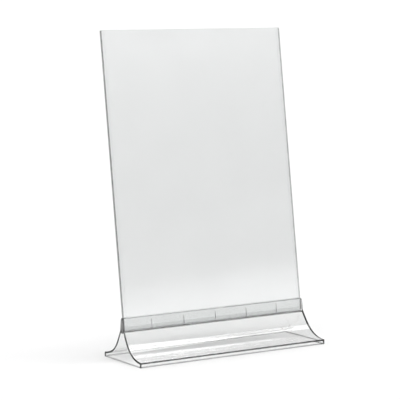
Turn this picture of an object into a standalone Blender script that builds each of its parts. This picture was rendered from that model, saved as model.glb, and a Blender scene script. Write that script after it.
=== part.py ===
"""Tabletop sign stand for an A4 card, in clear moulded plastic.

A one-piece hollow foot, open underneath, flares up from a low lip into a collar with a slot.
A flat two-sheet pocket stands in the slot, leans back, and lifts out along its own plane.
Units are metres, +Z is up, and the front faces -Y. The origin is the middle of the whole
stand's footprint box, at the level of the table.
"""

import math

import bmesh
import bpy
from mathutils import Matrix, Vector

# Card that the pocket is made for
CARD_WIDTH = 0.210
CARD_HEIGHT = 0.297

# Pocket: two sheets held apart by strips along the sides and the bottom
SIDE_STRIP_WIDTH = 0.0045
BOTTOM_STRIP_HEIGHT = 0.0045
CARD_SIDE_PLAY = 0.0005
CARD_TOP_MARGIN = 0.0031
SHEET_THICKNESS = 0.0009
STRIP_THICKNESS = 0.0004
BOND_GAP = 0.0002
STRIP_END_GAP = 0.0003
SHEET_CORNER_RADIUS = 0.001
POCKET_WIDTH = CARD_WIDTH + 2 * (SIDE_STRIP_WIDTH + CARD_SIDE_PLAY)
POCKET_HEIGHT = BOTTOM_STRIP_HEIGHT + CARD_HEIGHT + CARD_TOP_MARGIN
POCKET_THICKNESS = 2 * (SHEET_THICKNESS + BOND_GAP) + STRIP_THICKNESS
LEAN = math.radians(8.3)

# Foot: outer shape, seen from the end (Y is depth from the middle of the slot, Z is height)
FOOT_LENGTH = 0.228
FOOT_DEPTH = 0.0717
RIM_HEIGHT = 0.0443
RIM_LENGTH = 0.2222
END_DRAFT = (FOOT_LENGTH - RIM_LENGTH) / 2 / RIM_HEIGHT
FRONT_LIP_Y = -0.03855
REAR_LIP_Y = FRONT_LIP_Y + FOOT_DEPTH
FRONT_LIP_HEIGHT = 0.0053
REAR_LIP_HEIGHT = 0.0050
RIM_CORNER_RADIUS = 0.0023
END_EDGE_RADIUS = 0.0010
EDGE_RADIUS = 0.0005

# Collar: its front and rear faces, each at its foot and at the rim
COLLAR_FOOT_HEIGHT = 0.0315
COLLAR_FRONT_Y = (-0.00235, -0.00155)
COLLAR_REAR_Y = (0.00445, 0.00475)

# Flanks: each a cubic curve between its lip and the foot of the collar. The angle is from upright,
# the slope from level, and the handles say how far the curve keeps each direction.
FRONT_FLANK_ANGLE = math.radians(32.0)
REAR_FLANK_ANGLE = math.radians(25.5)
FRONT_LIP_SLOPE = math.radians(2.5)
REAR_LIP_SLOPE = math.radians(7.6)
COLLAR_HANDLE = 0.0143
LIP_HANDLE = 0.0224
FLANK_STEPS = 20

# Foot: hollow underside
WALL = 0.002
HOLLOW_CEILING = 0.0290
CEILING_DROP = 0.0007
CEILING_STEPS = 6
BELOW_TABLE = 0.002

# Slot in the collar, with gripping ribs down both of its faces
SLOT_FLOOR_HEIGHT = 0.0305
SLOT_END_PLAY = 0.0003
RIB_PLAY = 0.00025
RIB_PROUD = 0.0004
RIB_ROOT_WIDTH = 0.0018
RIB_CREST_WIDTH = 0.0008
RIB_PITCH = 0.0387
RIB_START_BELOW_RIM = 0.004
FRONT_RIBS = 5
REAR_RIBS = 6
SEAT_GAP = 0.0003
SLOT_OVERRUN = 0.005
SLOT_HALF_WIDTH = POCKET_THICKNESS / 2 + RIB_PLAY + RIB_PROUD
SLOT_HALF_LENGTH = POCKET_WIDTH / 2 + SLOT_END_PLAY
SLOT_DEPTH = (RIM_HEIGHT - SLOT_FLOOR_HEIGHT) / math.cos(LEAN)

SMOOTH_ANGLE = math.radians(22)


def clear_scene():
    """Remove every object that the scene starts with."""
    for obj in list(bpy.data.objects):
        bpy.data.objects.remove(obj, do_unlink=True)


def clear_plastic(name, tint, roughness):
    """A see-through plastic, with a tint of its own."""
    material = bpy.data.materials.new(name)
    material.use_nodes = True
    shader = material.node_tree.nodes["Principled BSDF"]
    shader.inputs["Base Color"].default_value = (*tint, 1.0)
    shader.inputs["Roughness"].default_value = roughness
    shader.inputs["Metallic"].default_value = 0.0
    shader.inputs["IOR"].default_value = 1.49
    shader.inputs["Alpha"].default_value = 0.35
    return material


def add_empty(name, location, parent=None, tilt=0.0):
    """A frame that pieces are parented to, tilted about X."""
    empty = bpy.data.objects.new(name, None)
    empty.location = location
    empty.rotation_euler = (tilt, 0.0, 0.0)
    empty.parent = parent
    bpy.context.collection.objects.link(empty)
    return empty


def add_object(name, mesh_maker, parent, material=None):
    """Link one object whose mesh is built by mesh_maker(bm)."""
    bm = bmesh.new()
    mesh_maker(bm)
    bmesh.ops.recalc_face_normals(bm, faces=bm.faces)
    mesh = bpy.data.meshes.new(name)
    bm.to_mesh(mesh)
    bm.free()
    mesh.shade_smooth()
    mesh.set_sharp_from_angle(angle=SMOOTH_ANGLE)
    obj = bpy.data.objects.new(name, mesh)
    obj.parent = parent
    if material is not None:
        mesh.materials.append(material)
    bpy.context.collection.objects.link(obj)
    return obj


def add_cutter(name, mesh_maker, parent, target):
    """Take a hidden solid away from target."""
    cutter = add_object(name, mesh_maker, parent)
    cutter.hide_render = True
    cutter.display_type = "WIRE"
    cut = target.modifiers.new(name, "BOOLEAN")
    cut.operation = "DIFFERENCE"
    cut.object = cutter
    return cutter


def flank(side, wall=0.0):
    """One concave flank from its lip up to the foot of the collar, moved inwards by wall."""
    if side < 0:
        lip = Vector((FRONT_LIP_Y, FRONT_LIP_HEIGHT))
        top = Vector((COLLAR_FRONT_Y[0], COLLAR_FOOT_HEIGHT))
        angle, slope = FRONT_FLANK_ANGLE, FRONT_LIP_SLOPE
    else:
        lip = Vector((REAR_LIP_Y, REAR_LIP_HEIGHT))
        top = Vector((COLLAR_REAR_Y[0], COLLAR_FOOT_HEIGHT))
        angle, slope = REAR_FLANK_ANGLE, REAR_LIP_SLOPE
    lip_guide = lip + LIP_HANDLE * Vector((-side * math.cos(slope), math.sin(slope)))
    top_guide = top + COLLAR_HANDLE * Vector((side * math.sin(angle), -math.cos(angle)))
    points = []
    for step in range(FLANK_STEPS + 1):
        t = step / FLANK_STEPS
        s = 1.0 - t
        point = s**3 * lip + 3 * s * s * t * lip_guide + 3 * s * t * t * top_guide + t**3 * top
        run = s * s * (lip_guide - lip) + 2 * s * t * (top_guide - lip_guide)
        run += t * t * (top - top_guide)
        inward = -side * Vector((run.y, -run.x)).normalized()
        points.append(point + wall * inward)
    return points


def foot_outline():
    """Outer end profile of the foot, counter-clockwise from the front bottom edge."""
    outline = [Vector((FRONT_LIP_Y, 0.0)), Vector((REAR_LIP_Y, 0.0))]
    outline += flank(1)
    outline.append(Vector((COLLAR_REAR_Y[1], RIM_HEIGHT)))
    outline.append(Vector((COLLAR_FRONT_Y[1], RIM_HEIGHT)))
    outline += reversed(flank(-1))
    return outline


def crossing(points, axis, value):
    """Where a row of points first crosses value on an axis: the index before it, and the place."""
    for index, (start, end) in enumerate(zip(points, points[1:])):
        share = (value - start[axis]) / (end[axis] - start[axis])
        if 0.0 <= share <= 1.0:
            return index, start.lerp(end, share)


def hollow_flank(side):
    """Inner face of one flank, from the inside of its lip up to the ceiling of the hollow."""
    points = flank(side, WALL)
    lip_y = FRONT_LIP_Y if side < 0 else REAR_LIP_Y
    first, low = crossing(points, 0, lip_y - side * WALL)
    last, high = crossing(points, 1, HOLLOW_CEILING)
    return [low, *points[first + 1:last + 1], high]


def hollow_outline():
    """End profile of the hollow under the foot, one wall inside the outer shape."""
    front = hollow_flank(-1)
    rear = hollow_flank(1)
    outline = [Vector((front[0].x, -BELOW_TABLE)), Vector((rear[0].x, -BELOW_TABLE))]
    outline += rear
    for step in range(1, CEILING_STEPS):
        share = step / CEILING_STEPS
        drop = CEILING_DROP * math.sin(math.pi * share)
        outline.append(rear[-1].lerp(front[-1], share) - Vector((0.0, drop)))
    outline += reversed(front)
    return outline


def loft_along_length(bm, outline, half_length):
    """Prism along X whose ends lean inwards by the moulding draft; returns its two caps."""
    caps = []
    for end in (-1, 1):
        ring = [bm.verts.new((end * (half_length - z * END_DRAFT), y, z)) for y, z in outline]
        caps.append(bm.faces.new(ring))
    count = len(outline)
    for index in range(count):
        following = (index + 1) % count
        left = caps[0].verts[index], caps[0].verts[following]
        right = caps[1].verts[following], caps[1].verts[index]
        bm.faces.new((*left, *right))
    bmesh.ops.recalc_face_normals(bm, faces=bm.faces)
    return caps


def round_edges(bm, edges, radius, segments):
    """Round the given edges."""
    bmesh.ops.bevel(
        bm,
        geom=edges,
        offset=radius,
        offset_type="OFFSET",
        segments=segments,
        profile=0.5,
        affect="EDGES",
    )


def sharp_edges_above_table(bm, lengthwise):
    """Sharp edges off the table: those that run the length of the foot, or all the others."""
    found = []
    for edge in bm.edges:
        runs_along = abs(edge.verts[0].co.x - edge.verts[1].co.x) > FOOT_LENGTH / 2
        off_table = max(vert.co.z for vert in edge.verts) > 0.0
        if runs_along == lengthwise and off_table and edge.calc_face_angle() > SMOOTH_ANGLE:
            found.append(edge)
    return found


def foot_body(bm):
    """Outside of the foot, with its edges rounded and its bottom edges left square."""
    caps = loft_along_length(bm, foot_outline(), FOOT_LENGTH / 2)
    rim_ends = []
    for cap in caps:
        rim_ends += [e for e in cap.edges if min(vert.co.z for vert in e.verts) > RIM_HEIGHT - 1e-6]
    round_edges(bm, rim_ends, RIM_CORNER_RADIUS, 4)
    round_edges(bm, sharp_edges_above_table(bm, lengthwise=False), END_EDGE_RADIUS, 2)
    round_edges(bm, sharp_edges_above_table(bm, lengthwise=True), EDGE_RADIUS, 2)


def foot_hollow(bm):
    """Space under the foot."""
    loft_along_length(bm, hollow_outline(), FOOT_LENGTH / 2 - WALL)


def prism(bm, outline, bottom, top):
    """Upright prism on an outline of (x, y) points."""
    low = [bm.verts.new((x, y, bottom)) for x, y in outline]
    high = [bm.verts.new((x, y, top)) for x, y in outline]
    bm.faces.new(low)
    bm.faces.new(high)
    for index in range(len(outline)):
        following = (index + 1) % len(outline)
        bm.faces.new((low[index], low[following], high[following], high[index]))


def rib_centres(count):
    """Places of one face's ribs along the slot, spread about its middle."""
    return [(index - (count - 1) / 2) * RIB_PITCH for index in range(count)]


def ribbed_face(side, count):
    """Plan of one slot face with its ribs standing into the slot, from -X to +X."""
    face_y = side * SLOT_HALF_WIDTH
    crest_y = side * (SLOT_HALF_WIDTH - RIB_PROUD)
    points = [(-SLOT_HALF_LENGTH, face_y)]
    for centre in rib_centres(count):
        points.append((centre - RIB_ROOT_WIDTH / 2, face_y))
        points.append((centre - RIB_CREST_WIDTH / 2, crest_y))
        points.append((centre + RIB_CREST_WIDTH / 2, crest_y))
        points.append((centre + RIB_ROOT_WIDTH / 2, face_y))
    points.append((SLOT_HALF_LENGTH, face_y))
    return points


def ribbed_slot(bm):
    """Space of the slot between its ribs."""
    outline = ribbed_face(-1, FRONT_RIBS) + ribbed_face(1, REAR_RIBS)[::-1]
    prism(bm, outline, 0.0, SLOT_DEPTH + SLOT_OVERRUN)


def slot_mouth(bm):
    """Space of the slot above its ribs."""
    corners = [
        (-SLOT_HALF_LENGTH, -SLOT_HALF_WIDTH),
        (SLOT_HALF_LENGTH, -SLOT_HALF_WIDTH),
        (SLOT_HALF_LENGTH, SLOT_HALF_WIDTH),
        (-SLOT_HALF_LENGTH, SLOT_HALF_WIDTH),
    ]
    prism(bm, corners, SLOT_DEPTH - RIB_START_BELOW_RIM, SLOT_DEPTH + SLOT_OVERRUN)


def flat_piece(bm, x_range, y_range, z_range, corner_radius=0.0):
    """Flat rectangular piece; corner_radius rounds its four corners in the plane of the pocket."""
    size = Vector((x_range[1] - x_range[0], y_range[1] - y_range[0], z_range[1] - z_range[0]))
    middle = Vector((sum(x_range), sum(y_range), sum(z_range))) / 2
    bmesh.ops.create_cube(bm, size=1.0, matrix=Matrix.LocRotScale(middle, None, size))
    if corner_radius > 0.0:
        through = [e for e in bm.edges if abs(e.verts[0].co.y - e.verts[1].co.y) > size.y / 2]
        round_edges(bm, through, corner_radius, 3)


def make_foot(frame, slot_frame, material):
    """The one-piece moulded foot."""
    foot = add_object("base", foot_body, frame, material)
    add_cutter("cut_hollow", foot_hollow, frame, foot)
    add_cutter("cut_ribbed_slot", ribbed_slot, slot_frame, foot)
    add_cutter("cut_slot_mouth", slot_mouth, slot_frame, foot)
    return foot


def make_sheet(name, side, slot_frame, material):
    """One of the pocket's two sheets; side is -1 for the front and 1 for the rear."""
    inner = side * (STRIP_THICKNESS / 2 + BOND_GAP)
    outer = side * POCKET_THICKNESS / 2
    half_width = POCKET_WIDTH / 2
    heights = (SEAT_GAP, SEAT_GAP + POCKET_HEIGHT)

    def mesh_maker(bm):
        depths = (min(inner, outer), max(inner, outer))
        flat_piece(bm, (-half_width, half_width), depths, heights, SHEET_CORNER_RADIUS)

    return add_object(name, mesh_maker, slot_frame, material)


def make_strip(name, x_range, height, slot_frame, material):
    """One spacer strip between the sheets, standing on the pocket's bottom edge."""
    depths = (-STRIP_THICKNESS / 2, STRIP_THICKNESS / 2)

    def mesh_maker(bm):
        flat_piece(bm, x_range, depths, (SEAT_GAP, SEAT_GAP + height))

    return add_object(name, mesh_maker, slot_frame, material)


def make_pocket(slot_frame):
    """The pocket: two sheets and the strips between them."""
    sheet = clear_plastic("sheet_clear", (0.93, 0.94, 0.94), 0.05)
    strip = clear_plastic("strip_clear", (0.88, 0.89, 0.90), 0.12)
    make_sheet("pocket_front_sheet", -1, slot_frame, sheet)
    make_sheet("pocket_rear_sheet", 1, slot_frame, sheet)
    outer = POCKET_WIDTH / 2 - SHEET_CORNER_RADIUS
    inner = POCKET_WIDTH / 2 - SIDE_STRIP_WIDTH
    make_strip("pocket_left_strip", (-outer, -inner), POCKET_HEIGHT, slot_frame, strip)
    make_strip("pocket_right_strip", (inner, outer), POCKET_HEIGHT, slot_frame, strip)
    bottom_reach = inner - STRIP_END_GAP
    bottom_range = (-bottom_reach, bottom_reach)
    make_strip("pocket_bottom_strip", bottom_range, BOTTOM_STRIP_HEIGHT, slot_frame, strip)


def footprint_middle():
    """Depth of the middle of the whole stand's box, counted from the middle of the slot."""
    top_reach = (SEAT_GAP + POCKET_HEIGHT) * math.sin(LEAN)
    rear = top_reach + POCKET_THICKNESS / 2 * math.cos(LEAN)
    return (FRONT_LIP_Y + rear) / 2


def main():
    clear_scene()
    frame = add_empty("stand_frame", (0.0, -footprint_middle(), 0.0))
    slot_frame = add_empty("slot_frame", (0.0, 0.0, SLOT_FLOOR_HEIGHT), frame, -LEAN)
    foot_plastic = clear_plastic("foot_clear", (0.95, 0.96, 0.96), 0.04)
    make_foot(frame, slot_frame, foot_plastic)
    make_pocket(slot_frame)


main()
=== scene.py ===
"""Looks of the clear tabletop sign stand: moulded foot, two-sheet pocket, studio and camera.

Units are metres, +Z is up, and the front of the stand faces -Y.
"""

import math

import bmesh
import bpy
from mathutils import Matrix, Vector


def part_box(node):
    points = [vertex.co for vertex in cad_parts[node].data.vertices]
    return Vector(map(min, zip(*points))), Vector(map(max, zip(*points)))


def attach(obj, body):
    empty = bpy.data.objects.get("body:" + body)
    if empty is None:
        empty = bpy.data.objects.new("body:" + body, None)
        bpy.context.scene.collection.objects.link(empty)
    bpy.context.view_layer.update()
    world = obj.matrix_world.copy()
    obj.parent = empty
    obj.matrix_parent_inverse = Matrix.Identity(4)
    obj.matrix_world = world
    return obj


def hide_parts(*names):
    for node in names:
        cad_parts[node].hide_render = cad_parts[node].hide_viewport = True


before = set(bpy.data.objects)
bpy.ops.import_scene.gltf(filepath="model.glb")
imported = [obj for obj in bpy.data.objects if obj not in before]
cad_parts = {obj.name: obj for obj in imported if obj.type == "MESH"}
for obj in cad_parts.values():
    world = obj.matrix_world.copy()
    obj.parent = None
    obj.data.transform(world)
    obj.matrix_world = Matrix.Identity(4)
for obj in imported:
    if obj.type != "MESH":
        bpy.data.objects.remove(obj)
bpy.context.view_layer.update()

# Foot: lips, collar and rim. Y is depth from the middle of the slot, Z is height, and the pairs
# of the collar are at its foot and at the rim.
FRONT_REACH = 0.03855
FRONT_LIP_HEIGHT = 0.0053
REAR_LIP_HEIGHT = 0.0050
RIM_LENGTH = 0.2222
COLLAR_FOOT_HEIGHT = 0.0315
COLLAR_FRONT_Y = (-0.00235, -0.00155)
COLLAR_REAR_Y = (0.00445, 0.00475)
RIM_CORNER_RADIUS = 0.0023
RIM_CORNER_STEPS = 10
END_EDGE_RADIUS = 0.0010
END_EDGE_STEPS = 6
EDGE_RADIUS = 0.0005
BOTTOM_EDGE_RADIUS = 0.0008
EDGE_STEPS = 4
LEVEL_TOLERANCE = 1e-6
SMOOTH_ANGLE = math.radians(22)

# Flanks: each a cubic curve between its lip and the foot of the collar. The angle is from upright,
# the slope from level, and the handles say how far the curve keeps each direction.
FRONT_FLANK_ANGLE = math.radians(32.0)
REAR_FLANK_ANGLE = math.radians(25.5)
FRONT_LIP_SLOPE = math.radians(2.5)
REAR_LIP_SLOPE = math.radians(7.6)
COLLAR_HANDLE = 0.0143
LIP_HANDLE = 0.0224
FLANK_STEPS = 64

# Hollow under the foot
WALL = 0.002
HOLLOW_CEILING = 0.0290
CEILING_DROP = 0.0007
CEILING_STEPS = 12
BELOW_TABLE = 0.002

# Slot and its ribs, in the leaning plane of the pocket
LEAN = math.radians(8.3)
SLOT_FLOOR_HEIGHT = 0.0305
SLOT_HALF_WIDTH = 0.00195
SLOT_HALF_LENGTH = 0.1103
SLOT_OVERRUN = 0.005
RIB_PROUD = 0.0004
RIB_WIDTH = 0.0018
RIB_STEPS = 8
RIB_PITCH = 0.0387
RIB_START_BELOW_RIM = 0.004
FRONT_RIBS = 5
REAR_RIBS = 6

# Pocket
SEAT_GAP = 0.0003
SHEET_THICKNESS = 0.0009
STRIP_THICKNESS = 0.0004
BOND_GAP = 0.0002
SHEET_CORNER_RADIUS = 0.001
SHEET_CORNER_STEPS = 6
SHEET_EDGE_RADIUS = 0.00012
SHEET_EDGE_STEPS = 3
STRIP_EDGE_RADIUS = STRIP_THICKNESS / 4
STRIP_EDGE_STEPS = 2

# Noise as (scale, detail), and the middle stretch of its values that is spread out
TINT_NOISE = (18.0, 3.0)
GLOSS_NOISE = (240.0, 4.0)
WAVE_DETAIL = 1.0
FLOOR_NOISE = (6.0, 4.0)
NOISE_LOW = 0.3
NOISE_HIGH = 0.7

# Plastics: the ends of the tint, the refractive index, the range of roughness, then the noise
# scale, height and stretch of the moulded waviness
FOOT_PLASTIC = (
    (0.984, 0.990, 0.988), (0.992, 0.996, 0.994), 1.57,
    (0.0, 0.03), (22.0, 0.000015, (1.0, 2.0, 2.0)),
)
SHEET_PLASTIC = (
    (0.902, 0.908, 0.908), (0.912, 0.918, 0.918), 1.49,
    (0.0, 0.02), (9.0, 0.00002, (1.0, 1.0, 1.0)),
)
STRIP_PLASTIC = (
    (0.965, 0.970, 0.970), (0.975, 0.980, 0.980), 1.10,
    (0.0, 0.04), (40.0, 0.00002, (1.0, 1.0, 1.0)),
)
# How fast a surface lets less light through as the light slants more
SLANT_POWER = 4.0

# Painted shade: where the tint is darker, standing in for the contact shadow, dark edge lines and
# shade that light makes in the clear plastic: the share that stays, then (axis, start, full) of
# each limit
FOOT_PAINTED_SHADE = (
    # painted contact shadow: darker along the bottom edges where the foot meets the table
    (0.45, ("Z", 0.0020, 0.0008)),
    # painted dark line along the rear edge of the top of the rim
    (0.25, ("Y", 0.0040, 0.0046), ("Z", 0.0434, 0.0440)),
    # painted shade on the ends of the collar above the slot floor
    (0.20, ("X", 0.1102, 0.1108), ("Z", 0.0318, 0.0330)),
    # painted shade: the foot a little darker below the foot of the collar
    (0.95, ("Z", 0.0318, 0.0300)),
)
# painted shade: dark lines along the side edges of the pocket sheets, where light makes the cut
# edges look dark
SHEET_PAINTED_SHADE = ((0.45, ("X", 0.1093, 0.1095)),)
# painted shade: the spacer strips darker low down in the slot of the collar
STRIP_PAINTED_SHADE = ((0.88, ("Z", 0.0375, 0.0345)),)

# Camera (lens and sensor in millimetres)
CAMERA_AZIMUTH = math.radians(-32.873)
CAMERA_ELEVATION = math.radians(6.742)
CAMERA_DISTANCE = 1.8729
CAMERA_LENS = 161.6
CAMERA_SENSOR_WIDTH = 36.0
CAMERA_REACH = 200.0
CAMERA_AIM = Vector((-0.0031, 0.0206, 0.1550))

# Studio
FLOOR_HALF = 60.0
FLOOR_GAP = 0.0002
FLOOR_GREYS = (0.80, 0.808)
FLOOR_GLOW = 0.04
SUN_STRENGTH = 0.16
SUN_ANGLE = math.radians(16.0)
SUN_DIRECTION = Vector((0.520, -0.205, 0.83))
# Brightness of the room by height above the horizon, as (elevation in degrees, value)
SKY_STRENGTH = 4.0
SKY = (
    (0.0, 1.40), (3.8, 1.30), (4.2, 1.10), (4.5, 0.80), (4.8, 0.40), (5.2, 0.15), (7.9, 0.15),
    (9.1, 0.25), (10.6, 0.43), (12.2, 0.80), (20.0, 0.60), (30.0, 0.50), (90.0, 0.30),
)
# Wide soft box overhead, a little to the front: the way to it, its width and its brightness
BOX_DIRECTION = Vector((0.0, -0.205, 0.979))
BOX_HALF_WIDTH = math.radians(33.3)
BOX_SOFT_EDGE = math.radians(0.4)
BOX_STRENGTH = 2.95
# Colour sockets of a mix node: its two inputs and its output
MIX_FIRST = 6
MIX_SECOND = 7
MIX_RESULT = 2
BOUNCES = 32


def node_input(node, name, value):
    """Set one of a node's sockets."""
    node.inputs[name].default_value = value


def grey(value):
    """Opaque grey of one value."""
    return value, value, value, 1.0


def noise(tree, coordinates, scale, detail, stretch=(1.0, 1.0, 1.0)):
    """Noise in object space; stretch scales each axis of the space."""
    mapping = tree.nodes.new("ShaderNodeMapping")
    node_input(mapping, "Scale", stretch)
    tree.links.new(coordinates, mapping.inputs["Vector"])
    texture = tree.nodes.new("ShaderNodeTexNoise")
    node_input(texture, "Scale", scale)
    node_input(texture, "Detail", detail)
    tree.links.new(mapping.outputs["Vector"], texture.inputs["Vector"])
    return texture.outputs["Fac"]


def remap(tree, value, low, high, start=NOISE_LOW, end=NOISE_HIGH):
    """Spread a value that runs from start to end, by default a noise value, over low to high."""
    node = tree.nodes.new("ShaderNodeMapRange")
    node_input(node, "From Min", start)
    node_input(node, "From Max", end)
    node_input(node, "To Min", low)
    node_input(node, "To Max", high)
    tree.links.new(value, node.inputs["Value"])
    return node.outputs["Result"]


def tint_ramp(tree, value, dark, light):
    """Colour between dark and light, led by a noise value."""
    ramp = tree.nodes.new("ShaderNodeValToRGB")
    ramp.color_ramp.elements[0].position = NOISE_LOW
    ramp.color_ramp.elements[0].color = dark
    ramp.color_ramp.elements[1].position = NOISE_HIGH
    ramp.color_ramp.elements[1].color = light
    tree.links.new(value, ramp.inputs["Fac"])
    return ramp.outputs["Color"]


def maths(tree, operation, *values):
    """One maths step on linked values and plain numbers."""
    node = tree.nodes.new("ShaderNodeMath")
    node.operation = operation
    for socket, value in zip(node.inputs, values):
        if isinstance(value, float):
            socket.default_value = value
        else:
            tree.links.new(value, socket)
    return node.outputs["Value"]


def passed_light(tree):
    """Share of the light that one surface lets through: less the more slanting the light."""
    slant = tree.nodes.new("ShaderNodeLayerWeight")
    node_input(slant, "Blend", 0.5)
    steep = maths(tree, "POWER", slant.outputs["Facing"], SLANT_POWER)
    return remap(tree, steep, 1.0, 0.0, 0.0, 1.0)


def painted_shade_zone(tree, place, tint, darkening, *limits):
    """Painted shade: the tint, darkened inside limits: each an axis, and where the zone starts and
    is full.

    Both are distances from the middle plane of the axis, so the zone is there on either side.
    """
    split = tree.nodes.new("ShaderNodeSeparateXYZ")
    tree.links.new(place, split.inputs["Vector"])
    share = 1.0
    for axis, start, full in limits:
        distance = maths(tree, "ABSOLUTE", split.outputs[axis])
        share = maths(tree, "MULTIPLY", remap(tree, distance, 0.0, 1.0, start, full), share)
    scale = tree.nodes.new("ShaderNodeVectorMath")
    scale.operation = "SCALE"
    tree.links.new(tint, scale.inputs["Vector"])
    tree.links.new(remap(tree, share, 1.0, darkening, 0.0, 1.0), scale.inputs["Scale"])
    return scale.outputs["Vector"]


def clear_plastic(name, plastic, painted_shades):
    """See-through plastic: one of the plastics named above, with its tint darker where shade is
    painted.

    Light on its way to something matt goes straight through, less what each surface throws back.
    """
    dark, light, index, gloss, wave = plastic
    material = bpy.data.materials.new(name)
    material.use_nodes = True
    tree = material.node_tree
    shader = tree.nodes["Principled BSDF"]
    output = tree.nodes["Material Output"]
    place = tree.nodes.new("ShaderNodeTexCoord").outputs["Object"]

    node_input(shader, "Metallic", 0.0)
    node_input(shader, "IOR", index)
    node_input(shader, "Transmission Weight", 1.0)
    cloud = noise(tree, place, *TINT_NOISE)
    tint = tint_ramp(tree, cloud, (*dark, 1.0), (*light, 1.0))
    # painted shade: the tint darkened in each zone where light makes the plastic look darker
    for zone in painted_shades:
        tint = painted_shade_zone(tree, place, tint, *zone)
    tree.links.new(tint, shader.inputs["Base Color"])
    rub = noise(tree, place, *GLOSS_NOISE)
    tree.links.new(remap(tree, rub, *gloss), shader.inputs["Roughness"])

    scale, height, stretch = wave
    bump = tree.nodes.new("ShaderNodeBump")
    node_input(bump, "Strength", 1.0)
    node_input(bump, "Distance", height)
    tree.links.new(noise(tree, place, scale, WAVE_DETAIL, stretch), bump.inputs["Height"])
    tree.links.new(bump.outputs["Normal"], shader.inputs["Normal"])

    through = tree.nodes.new("ShaderNodeBsdfTransparent")
    tree.links.new(passed_light(tree), through.inputs["Color"])
    light_path = tree.nodes.new("ShaderNodeLightPath")
    seen = shader.outputs["BSDF"]
    for ray in ("Is Diffuse Ray", "Is Shadow Ray"):
        mix = tree.nodes.new("ShaderNodeMixShader")
        tree.links.new(light_path.outputs[ray], mix.inputs[0])
        tree.links.new(seen, mix.inputs[1])
        tree.links.new(through.outputs["BSDF"], mix.inputs[2])
        seen = mix.outputs["Shader"]
    tree.links.new(seen, output.inputs["Surface"])
    return material


def build(name, mesh_maker, place=None):
    """One object whose mesh is built by mesh_maker(bm), moved to place."""
    bm = bmesh.new()
    mesh_maker(bm)
    bmesh.ops.recalc_face_normals(bm, faces=bm.faces)
    if place is not None:
        bmesh.ops.transform(bm, matrix=place, verts=bm.verts)
    mesh = bpy.data.meshes.new(name)
    bm.to_mesh(mesh)
    bm.free()
    obj = bpy.data.objects.new(name, mesh)
    bpy.context.collection.objects.link(obj)
    return obj


def apply_modifiers(obj):
    """Make the evaluated mesh the object's own."""
    bpy.context.view_layer.update()
    evaluated = obj.evaluated_get(bpy.context.evaluated_depsgraph_get())
    mesh = bpy.data.meshes.new_from_object(evaluated)
    obj.modifiers.clear()
    obj.data = mesh


def carve(obj, mesh_makers):
    """Take the solids of mesh_makers, each a (maker, place) pair, away from obj."""
    cutters = []
    for maker, place in mesh_makers:
        cutter = build("cutter", maker, place)
        cut = obj.modifiers.new("cut", "BOOLEAN")
        cut.operation = "DIFFERENCE"
        cut.object = cutter
        cutters.append(cutter)
    apply_modifiers(obj)
    for cutter in cutters:
        bpy.data.objects.remove(cutter, do_unlink=True)


def smooth(obj):
    """Smooth shading that keeps flat faces flat and sharp edges sharp."""
    obj.data.shade_smooth()
    obj.data.set_sharp_from_angle(angle=SMOOTH_ANGLE)
    even = obj.modifiers.new("even", "WEIGHTED_NORMAL")
    even.keep_sharp = True
    apply_modifiers(obj)


def finish_piece(obj, material, body, node):
    """Give a piece its material and its body, and hide the CAD node it stands for."""
    obj.data.materials.clear()
    obj.data.materials.append(material)
    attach(obj, body)
    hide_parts(node)


def flank(side, lip_y, wall=0.0):
    """One concave flank from its lip up to the foot of the collar, moved inwards by wall."""
    if side < 0:
        lip = Vector((lip_y, FRONT_LIP_HEIGHT))
        top = Vector((COLLAR_FRONT_Y[0], COLLAR_FOOT_HEIGHT))
        angle, slope = FRONT_FLANK_ANGLE, FRONT_LIP_SLOPE
    else:
        lip = Vector((lip_y, REAR_LIP_HEIGHT))
        top = Vector((COLLAR_REAR_Y[0], COLLAR_FOOT_HEIGHT))
        angle, slope = REAR_FLANK_ANGLE, REAR_LIP_SLOPE
    lip_guide = lip + LIP_HANDLE * Vector((-side * math.cos(slope), math.sin(slope)))
    top_guide = top + COLLAR_HANDLE * Vector((side * math.sin(angle), -math.cos(angle)))
    points = []
    for step in range(FLANK_STEPS + 1):
        t = step / FLANK_STEPS
        s = 1.0 - t
        point = s**3 * lip + 3 * s * s * t * lip_guide + 3 * s * t * t * top_guide + t**3 * top
        run = s * s * (lip_guide - lip) + 2 * s * t * (top_guide - lip_guide)
        run += t * t * (top - top_guide)
        inward = -side * Vector((run.y, -run.x)).normalized()
        points.append(point + wall * inward)
    return points


def foot_outline(front_lip, rear_lip, rim):
    """Outer end profile of the foot, counter-clockwise from the front bottom edge."""
    outline = [Vector((front_lip, 0.0)), Vector((rear_lip, 0.0))]
    outline += flank(1, rear_lip)
    outline.append(Vector((COLLAR_REAR_Y[1], rim)))
    outline.append(Vector((COLLAR_FRONT_Y[1], rim)))
    outline += reversed(flank(-1, front_lip))
    return outline


def crossing(points, axis, value):
    """Where a row of points first crosses value on an axis: the index before it, and the place."""
    for index, (start, end) in enumerate(zip(points, points[1:])):
        share = (value - start[axis]) / (end[axis] - start[axis])
        if 0.0 <= share <= 1.0:
            return index, start.lerp(end, share)


def hollow_flank(side, lip_y):
    """Inner face of one flank, from the inside of its lip up to the ceiling of the hollow."""
    points = flank(side, lip_y, WALL)
    first, low = crossing(points, 0, lip_y - side * WALL)
    last, high = crossing(points, 1, HOLLOW_CEILING)
    return [low, *points[first + 1:last + 1], high]


def hollow_outline(front_lip, rear_lip):
    """End profile of the hollow under the foot, one wall inside the outer shape."""
    front = hollow_flank(-1, front_lip)
    rear = hollow_flank(1, rear_lip)
    outline = [Vector((front[0].x, -BELOW_TABLE)), Vector((rear[0].x, -BELOW_TABLE))]
    outline += rear
    for step in range(1, CEILING_STEPS):
        share = step / CEILING_STEPS
        drop = CEILING_DROP * math.sin(math.pi * share)
        outline.append(rear[-1].lerp(front[-1], share) - Vector((0.0, drop)))
    outline += reversed(front)
    return outline


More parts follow.
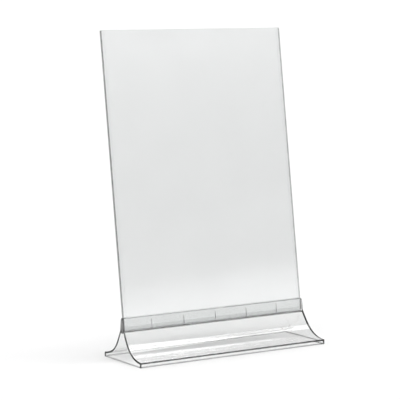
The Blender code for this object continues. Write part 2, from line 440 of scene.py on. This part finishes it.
def loft_along_length(bm, outline, half_length, draft):
    """Prism along X whose ends lean inwards by draft; returns its two caps."""
    caps = []
    for end in (-1, 1):
        ring = [bm.verts.new((end * (half_length - z * draft), y, z)) for y, z in outline]
        caps.append(bm.faces.new(ring))
    count = len(outline)
    for index in range(count):
        following = (index + 1) % count
        left = caps[0].verts[index], caps[0].verts[following]
        right = caps[1].verts[following], caps[1].verts[index]
        bm.faces.new((*left, *right))
    bmesh.ops.recalc_face_normals(bm, faces=bm.faces)
    return caps


def round_edges(bm, edges, radius, segments):
    """Round the given edges."""
    bmesh.ops.bevel(
        bm,
        geom=edges,
        offset=radius,
        offset_type="OFFSET",
        segments=segments,
        profile=0.5,
        affect="EDGES",
    )


def sharp_edges_above_table(bm, length, lengthwise):
    """Sharp edges off the table: those that run the length of the foot, or all the others."""
    found = []
    for edge in bm.edges:
        runs_along = abs(edge.verts[0].co.x - edge.verts[1].co.x) > length / 2
        off_table = max(vert.co.z for vert in edge.verts) > 0.0
        if runs_along == lengthwise and off_table and edge.calc_face_angle() > SMOOTH_ANGLE:
            found.append(edge)
    return found


def prism(bm, outline, bottom, top):
    """Upright prism on an outline of (x, y) points."""
    low = [bm.verts.new((x, y, bottom)) for x, y in outline]
    high = [bm.verts.new((x, y, top)) for x, y in outline]
    bm.faces.new(low)
    bm.faces.new(high)
    for index in range(len(outline)):
        following = (index + 1) % len(outline)
        bm.faces.new((low[index], low[following], high[following], high[index]))


def ribbed_face(side, count):
    """Plan of one slot face with its rounded ribs standing into the slot, from -X to +X."""
    face_y = side * SLOT_HALF_WIDTH
    points = [(-SLOT_HALF_LENGTH, face_y)]
    for index in range(count):
        centre = (index - (count - 1) / 2) * RIB_PITCH
        for step in range(RIB_STEPS + 1):
            share = step / RIB_STEPS
            height = RIB_PROUD * math.sin(math.pi * share) ** 2
            points.append((centre + (share - 0.5) * RIB_WIDTH, face_y - side * height))
    points.append((SLOT_HALF_LENGTH, face_y))
    return points


def make_foot(material, slot_place):
    """The one-piece moulded foot, hollow underneath, with a ribbed slot in its collar."""
    low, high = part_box("base")
    length = high.x - low.x
    middle_y = low.y + FRONT_REACH
    front_lip = -FRONT_REACH
    rear_lip = high.y - middle_y
    rim = high.z
    draft = (length - RIM_LENGTH) / 2 / rim
    place = Matrix.Translation((0.0, middle_y, 0.0))
    slot_depth = (rim - SLOT_FLOOR_HEIGHT) / math.cos(LEAN)

    def body(bm):
        caps = loft_along_length(bm, foot_outline(front_lip, rear_lip, rim), length / 2, draft)
        rim_ends = []
        at_rim = rim - LEVEL_TOLERANCE
        for cap in caps:
            rim_ends += [e for e in cap.edges if min(vert.co.z for vert in e.verts) > at_rim]
        round_edges(bm, rim_ends, RIM_CORNER_RADIUS, RIM_CORNER_STEPS)
        end_edges = sharp_edges_above_table(bm, length, lengthwise=False)
        round_edges(bm, end_edges, END_EDGE_RADIUS, END_EDGE_STEPS)
        long_edges = sharp_edges_above_table(bm, length, lengthwise=True)
        round_edges(bm, long_edges, EDGE_RADIUS, EDGE_STEPS)
        low_edges = [e for e in bm.edges if max(vert.co.z for vert in e.verts) < LEVEL_TOLERANCE]
        bottom_edges = [e for e in low_edges if e.calc_face_angle() > SMOOTH_ANGLE]
        round_edges(bm, bottom_edges, BOTTOM_EDGE_RADIUS, EDGE_STEPS)

    def hollow(bm):
        loft_along_length(bm, hollow_outline(front_lip, rear_lip), length / 2 - WALL, draft)

    def ribbed_slot(bm):
        outline = ribbed_face(-1, FRONT_RIBS) + ribbed_face(1, REAR_RIBS)[::-1]
        prism(bm, outline, 0.0, slot_depth + SLOT_OVERRUN)

    def slot_mouth(bm):
        corners = []
        for x, y in ((-1, -1), (1, -1), (1, 1), (-1, 1)):
            corners.append((x * SLOT_HALF_LENGTH, y * SLOT_HALF_WIDTH))
        prism(bm, corners, slot_depth - RIB_START_BELOW_RIM, slot_depth + SLOT_OVERRUN)

    foot = build("foot_moulding", body, place)
    carve(foot, [(hollow, place), (ribbed_slot, slot_place), (slot_mouth, slot_place)])
    smooth(foot)
    finish_piece(foot, material, "foot", "base")


def make_sheet(name, node, side, slot_place, size, material):
    """One flat sheet of the pocket with polished edges; side is -1 in front and 1 behind."""
    width, height = size
    inner = STRIP_THICKNESS / 2 + BOND_GAP
    middle = Vector((0.0, side * (inner + SHEET_THICKNESS / 2), SEAT_GAP + height / 2))
    box = Matrix.LocRotScale(middle, None, Vector((width, SHEET_THICKNESS, height)))

    def mesh_maker(bm):
        bmesh.ops.create_cube(bm, size=1.0, matrix=box)
        half = SHEET_THICKNESS / 2
        through = [e for e in bm.edges if abs(e.verts[0].co.y - e.verts[1].co.y) > half]
        round_edges(bm, through, SHEET_CORNER_RADIUS, SHEET_CORNER_STEPS)
        rims = [e for e in bm.edges if e.calc_face_angle() > SMOOTH_ANGLE]
        round_edges(bm, rims, SHEET_EDGE_RADIUS, SHEET_EDGE_STEPS)

    sheet = build(name, mesh_maker, slot_place)
    smooth(sheet)
    finish_piece(sheet, material, "pocket", node)


def make_strip(name, node, x_range, height, slot_place, material):
    """One spacer strip, squeezed a little between the sheets."""
    middle = Vector((sum(x_range) / 2, 0.0, SEAT_GAP + height / 2))
    size = Vector((x_range[1] - x_range[0], STRIP_THICKNESS, height))
    box = Matrix.LocRotScale(middle, None, size)

    def mesh_maker(bm):
        bmesh.ops.create_cube(bm, size=1.0, matrix=box)
        round_edges(bm, list(bm.edges), STRIP_EDGE_RADIUS, STRIP_EDGE_STEPS)

    strip = build(name, mesh_maker, slot_place)
    smooth(strip)
    finish_piece(strip, material, "pocket", node)


def make_pocket(sheet_material, strip_material, slot_place):
    """The pocket: two sheets with strips between them down the sides and along the bottom."""
    low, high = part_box("pocket_front_sheet")
    width = high.x - low.x
    lean_rise = high.z - low.z - SHEET_THICKNESS * math.sin(LEAN)
    height = lean_rise / math.cos(LEAN)
    size = (width, height)
    make_sheet("front_sheet", "pocket_front_sheet", -1, slot_place, size, sheet_material)
    make_sheet("rear_sheet", "pocket_rear_sheet", 1, slot_place, size, sheet_material)
    for name in ("left", "right"):
        node = f"pocket_{name}_strip"
        strip_low, strip_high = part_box(node)
        across = (strip_low.x, strip_high.x)
        make_strip(f"{name}_strip", node, across, height, slot_place, strip_material)
    node = "pocket_bottom_strip"
    strip_low, strip_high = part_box(node)
    rise = strip_high.z - strip_low.z - STRIP_THICKNESS * math.sin(LEAN)
    across = (strip_low.x, strip_high.x)
    make_strip("bottom_strip", node, across, rise / math.cos(LEAN), slot_place, strip_material)


def add_camera():
    """Camera at the front left, a little above the stand."""
    forward = Vector((
        -math.sin(CAMERA_AZIMUTH) * math.cos(CAMERA_ELEVATION),
        math.cos(CAMERA_AZIMUTH) * math.cos(CAMERA_ELEVATION),
        -math.sin(CAMERA_ELEVATION),
    ))
    right = Vector((math.cos(CAMERA_AZIMUTH), math.sin(CAMERA_AZIMUTH), 0.0))
    up = right.cross(forward)
    turn = Matrix((right, up, -forward)).transposed()
    camera = bpy.data.objects.new("camera", bpy.data.cameras.new("camera"))
    camera.data.lens = CAMERA_LENS
    camera.data.sensor_width = CAMERA_SENSOR_WIDTH
    camera.data.clip_end = CAMERA_REACH
    place = CAMERA_AIM - forward * CAMERA_DISTANCE
    camera.matrix_world = Matrix.Translation(place) @ turn.to_4x4()
    bpy.context.collection.objects.link(camera)
    bpy.context.scene.camera = camera


def add_floor():
    """Large pale floor, a little luminous like a lit sweep."""

    def mesh_maker(bm):
        bmesh.ops.create_grid(bm, x_segments=2, y_segments=2, size=FLOOR_HALF)

    floor = build("studio_floor", mesh_maker, Matrix.Translation((0.0, 0.0, -FLOOR_GAP)))
    material = bpy.data.materials.new("studio_floor")
    material.use_nodes = True
    tree = material.node_tree
    shader = tree.nodes["Principled BSDF"]
    place = tree.nodes.new("ShaderNodeTexCoord").outputs["Object"]
    grain = noise(tree, place, *FLOOR_NOISE)
    pale, paler = FLOOR_GREYS
    tint = tint_ramp(tree, grain, grey(pale), grey(paler))
    tree.links.new(tint, shader.inputs["Base Color"])
    node_input(shader, "Roughness", 1.0)
    node_input(shader, "Specular IOR Level", 0.0)
    node_input(shader, "Emission Color", grey(1.0))
    node_input(shader, "Emission Strength", FLOOR_GLOW)
    floor.data.materials.append(material)


def add_sky():
    """Room light: a gradient from the horizon up, and the soft box overhead."""
    world = bpy.data.worlds.new("room")
    world.use_nodes = True
    tree = world.node_tree
    background = tree.nodes["Background"]
    direction = tree.nodes.new("ShaderNodeTexCoord").outputs["Generated"]
    split = tree.nodes.new("ShaderNodeSeparateXYZ")
    tree.links.new(direction, split.inputs["Vector"])
    height = remap(tree, split.outputs["Z"], 0.0, 1.0, -1.0, 1.0)
    ramp = tree.nodes.new("ShaderNodeValToRGB")
    elements = ramp.color_ramp.elements
    for elevation, value in SKY[:-1]:
        element = elements.new((math.sin(math.radians(elevation)) + 1.0) / 2.0)
        element.color = grey(value / SKY_STRENGTH)
    elements[len(elements) - 1].color = grey(SKY[-1][1] / SKY_STRENGTH)
    tree.links.new(height, ramp.inputs["Fac"])

    towards_box = tree.nodes.new("ShaderNodeVectorMath")
    towards_box.operation = "DOT_PRODUCT"
    towards_box.inputs[1].default_value = BOX_DIRECTION.normalized()
    tree.links.new(direction, towards_box.inputs[0])
    start = math.cos(BOX_HALF_WIDTH + BOX_SOFT_EDGE)
    end = math.cos(BOX_HALF_WIDTH - BOX_SOFT_EDGE)
    inside = remap(tree, towards_box.outputs["Value"], 0.0, 1.0, start, end)
    box = tree.nodes.new("ShaderNodeMix")
    box.data_type = "RGBA"
    tree.links.new(inside, box.inputs["Factor"])
    tree.links.new(ramp.outputs["Color"], box.inputs[MIX_FIRST])
    box.inputs[MIX_SECOND].default_value = grey(BOX_STRENGTH / SKY_STRENGTH)
    tree.links.new(box.outputs[MIX_RESULT], background.inputs["Color"])
    node_input(background, "Strength", SKY_STRENGTH)
    bpy.context.scene.world = world


def add_sun():
    """Large soft key light from the right."""
    light = bpy.data.lights.new("key", "SUN")
    light.energy = SUN_STRENGTH
    light.angle = SUN_ANGLE
    sun = bpy.data.objects.new("key", light)
    sun.rotation_euler = SUN_DIRECTION.to_track_quat("Z", "Y").to_euler()
    bpy.context.collection.objects.link(sun)


def main():
    """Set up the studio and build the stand."""
    bpy.context.scene.view_settings.view_transform = "Standard"
    bpy.context.scene.cycles.max_bounces = BOUNCES
    bpy.context.scene.cycles.transmission_bounces = BOUNCES
    bpy.context.scene.cycles.transparent_max_bounces = BOUNCES
    add_camera()
    add_floor()
    add_sky()
    add_sun()

    low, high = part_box("base")
    slot_foot = Matrix.Translation((0.0, low.y + FRONT_REACH, SLOT_FLOOR_HEIGHT))
    slot_place = slot_foot @ Matrix.Rotation(-LEAN, 4, "X")
    foot_material = clear_plastic("foot_clear", FOOT_PLASTIC, FOOT_PAINTED_SHADE)
    sheet_material = clear_plastic("sheet_clear", SHEET_PLASTIC, SHEET_PAINTED_SHADE)
    strip_material = clear_plastic("strip_clear", STRIP_PLASTIC, STRIP_PAINTED_SHADE)
    make_foot(foot_material, slot_place)
    make_pocket(sheet_material, strip_material, slot_place)


main()
